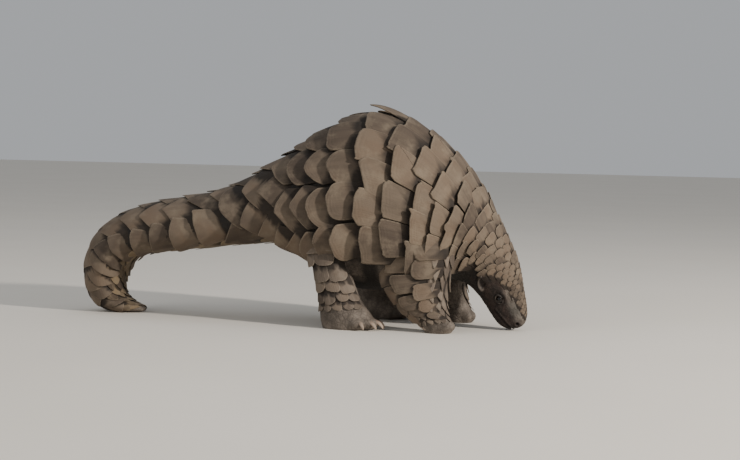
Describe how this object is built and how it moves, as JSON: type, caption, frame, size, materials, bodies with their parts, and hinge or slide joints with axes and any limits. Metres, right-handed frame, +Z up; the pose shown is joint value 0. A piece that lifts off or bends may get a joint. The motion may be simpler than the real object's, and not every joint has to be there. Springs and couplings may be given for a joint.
{
  "type": "ground pangolin model",
  "caption": "Life-size ground pangolin walking with its back arched, nose to the floor and the end of its tail curled under, covered in overlapping grey-brown scales.",
  "frame": {"origin": "centre of the animal's box, on the floor", "axes": "+X towards the head, +Y towards the animal's left side, +Z up"},
  "size_m": [0.6012, 0.2074, 0.2754],
  "materials": {
    "scales": "dull grey-brown horn scales with fine growth lines",
    "skin": "bare dark brown wrinkled skin",
    "eye": "glossy dark brown, nearly black"
  },
  "bodies": {
    "root": {"head": "scales", "neck": "scales", "torso": "scales", "tail_base": "scales", "tail_bend": "scales", "tail_tip": "scales", "foreleg_left": "scales", "forefoot_left": "scales", "hindleg_left": "scales", "hindfoot_left": "scales", "ear_left": "skin", "eye_left": "eye", "foreleg_right": "scales", "forefoot_right": "scales", "hindleg_right": "scales", "hindfoot_right": "scales", "ear_right": "skin", "eye_right": "eye"}
  },
  "joints": []
}
